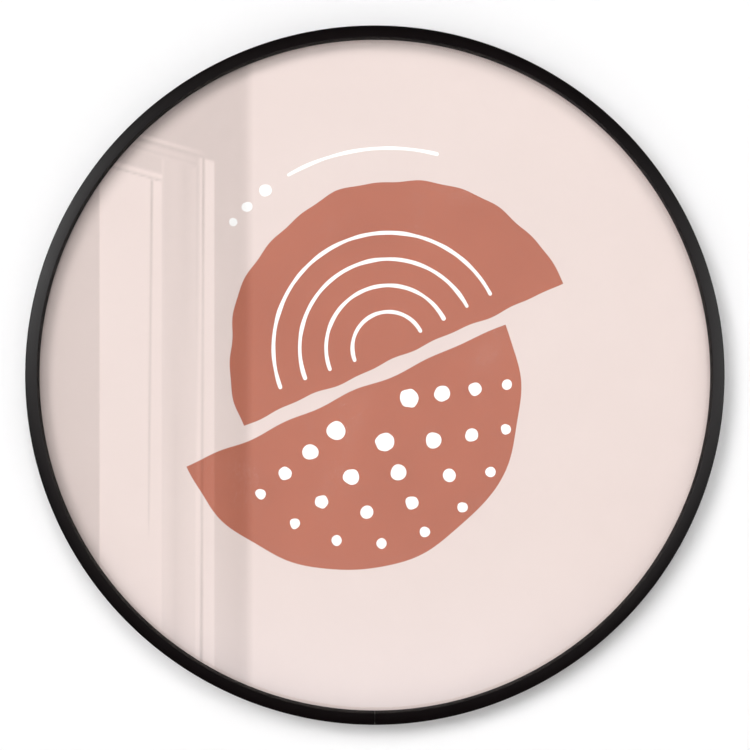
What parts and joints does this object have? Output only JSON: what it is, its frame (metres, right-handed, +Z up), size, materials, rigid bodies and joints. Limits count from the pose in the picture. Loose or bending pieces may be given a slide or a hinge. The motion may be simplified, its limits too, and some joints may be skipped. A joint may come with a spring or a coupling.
{
  "type": "round picture frame",
  "caption": "Round wall frame: rolled black ring, clear pane and print, hardboard back held by turn clips, hung by a D-ring.",
  "frame": {"origin": "where the nail's upper side meets the wall plane: the D-ring's eye bears on it", "axes": "+Z up, -Y out of the wall towards the viewer, +X to the viewer's right"},
  "size_m": [0.5, 0.025, 0.4999],
  "materials": {
    "black_aluminium": "black anodised, brushed round the ring",
    "splice_steel": "plain rolled",
    "screw_steel": "black oxide",
    "clear_acrylic": "clear, polished",
    "print_paper": "matt, smooth",
    "backing_card": "plain",
    "hardboard": "pressed fibre, satin face",
    "zinc_steel": "bright zinc plated",
    "clip_steel": "bright zinc plated",
    "zinc_wire": "bright zinc plated"
  },
  "bodies": {
    "frame": {"frame_ring": "black_aluminium", "splice_bar": "splice_steel", "splice_screws": "screw_steel", "glazing": "clear_acrylic", "art_print": "print_paper", "backing_card": "backing_card", "back_board": "hardboard", "clip_rivets": "zinc_steel", "hanger_strap": "zinc_steel", "hanger_rivets": "zinc_steel"},
    "turn_clip_1": {"turn_clip_1": "clip_steel"},
    "turn_clip_2": {"turn_clip_2": "clip_steel"},
    "turn_clip_3": {"turn_clip_3": "clip_steel"},
    "turn_clip_4": {"turn_clip_4": "clip_steel"},
    "turn_clip_5": {"turn_clip_5": "clip_steel"},
    "turn_clip_6": {"turn_clip_6": "clip_steel"},
    "turn_clip_7": {"turn_clip_7": "clip_steel"},
    "turn_clip_8": {"turn_clip_8": "clip_steel"},
    "hanger_ring": {"hanger_ring": "zinc_wire"}
  },
  "joints": [
    {"name": "turn_clip_1_turn", "type": "hinge", "parent": "frame", "child": "turn_clip_1", "pos_m": [0.09031, -0.0076, -0.00596], "axis": [0, 1, 0], "continuous": true},
    {"name": "turn_clip_2_turn", "type": "hinge", "parent": "frame", "child": "turn_clip_2", "pos_m": [0.21804, -0.0076, -0.13369], "axis": [0, 1, 0], "continuous": true},
    {"name": "turn_clip_3_turn", "type": "hinge", "parent": "frame", "child": "turn_clip_3", "pos_m": [0.21804, -0.0076, -0.31431], "axis": [0, 1, 0], "continuous": true},
    {"name": "turn_clip_4_turn", "type": "hinge", "parent": "frame", "child": "turn_clip_4", "pos_m": [0.09031, -0.0076, -0.44204], "axis": [0, 1, 0], "continuous": true},
    {"name": "turn_clip_5_turn", "type": "hinge", "parent": "frame", "child": "turn_clip_5", "pos_m": [-0.09031, -0.0076, -0.44204], "axis": [0, 1, 0], "continuous": true},
    {"name": "turn_clip_6_turn", "type": "hinge", "parent": "frame", "child": "turn_clip_6", "pos_m": [-0.21804, -0.0076, -0.31431], "axis": [0, 1, 0], "continuous": true},
    {"name": "turn_clip_7_turn", "type": "hinge", "parent": "frame", "child": "turn_clip_7", "pos_m": [-0.21804, -0.0076, -0.13369], "axis": [0, 1, 0], "continuous": true},
    {"name": "turn_clip_8_turn", "type": "hinge", "parent": "frame", "child": "turn_clip_8", "pos_m": [-0.09031, -0.0076, -0.00596], "axis": [0, 1, 0], "continuous": true},
    {"name": "hanger_ring_swing", "type": "hinge", "parent": "frame", "child": "hanger_ring", "pos_m": [0, -0.00562, -0.011], "axis": [-1, 0, 0], "range_deg": [0, 175]}
  ]
}
